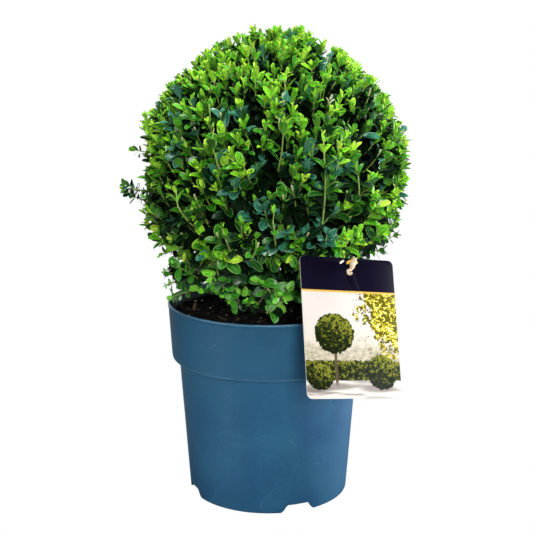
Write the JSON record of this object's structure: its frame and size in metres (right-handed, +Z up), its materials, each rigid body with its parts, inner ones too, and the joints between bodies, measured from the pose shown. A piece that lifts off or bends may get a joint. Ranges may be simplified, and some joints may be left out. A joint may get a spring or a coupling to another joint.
{
  "type": "box topiary ball",
  "caption": "Clipped round ball of small glossy evergreen box leaves on a short stem, growing in a tapered blue plastic nursery pot with a deep collar and a hanging plant label.",
  "frame": {"origin": "on the ground under the middle of the pot", "axes": "+Z up from the ground through the pot to the crown, -Y is the front with the label at its right, +X is the viewer's right seen from the front"},
  "size_m": [0.2657, 0.2887, 0.4344],
  "materials": {
    "pot_plastic": "satin",
    "potting_soil": "matte",
    "bark": "matte",
    "clipped_leaves": "satin",
    "lower_leaves": "satin",
    "label_card": "satin",
    "tie_straw": "matte"
  },
  "bodies": {
    "root": {"pot": "pot_plastic", "soil": "potting_soil", "stem": "bark", "foliage_ball": "clipped_leaves", "stray_shoots": "clipped_leaves", "upper_bough_1": "bark", "upper_bough_2": "bark", "upper_bough_3": "bark", "upper_bough_4": "bark", "lower_bough_front": "bark", "lower_bough_front_right": "bark", "lower_bough_right": "bark", "lower_bough_back_right": "bark", "lower_bough_back": "bark", "lower_bough_back_left": "bark", "lower_bough_left": "bark", "lower_bough_front_left": "bark", "lower_spray_front": "lower_leaves", "lower_spray_front_right": "lower_leaves", "lower_spray_right": "lower_leaves", "lower_spray_back_right": "lower_leaves", "lower_spray_back": "lower_leaves", "lower_spray_back_left": "lower_leaves", "lower_spray_left": "lower_leaves", "lower_spray_front_left": "lower_leaves", "label_card": "label_card", "label_tie": "tie_straw", "label_toggle": "tie_straw"}
  },
  "joints": []
}
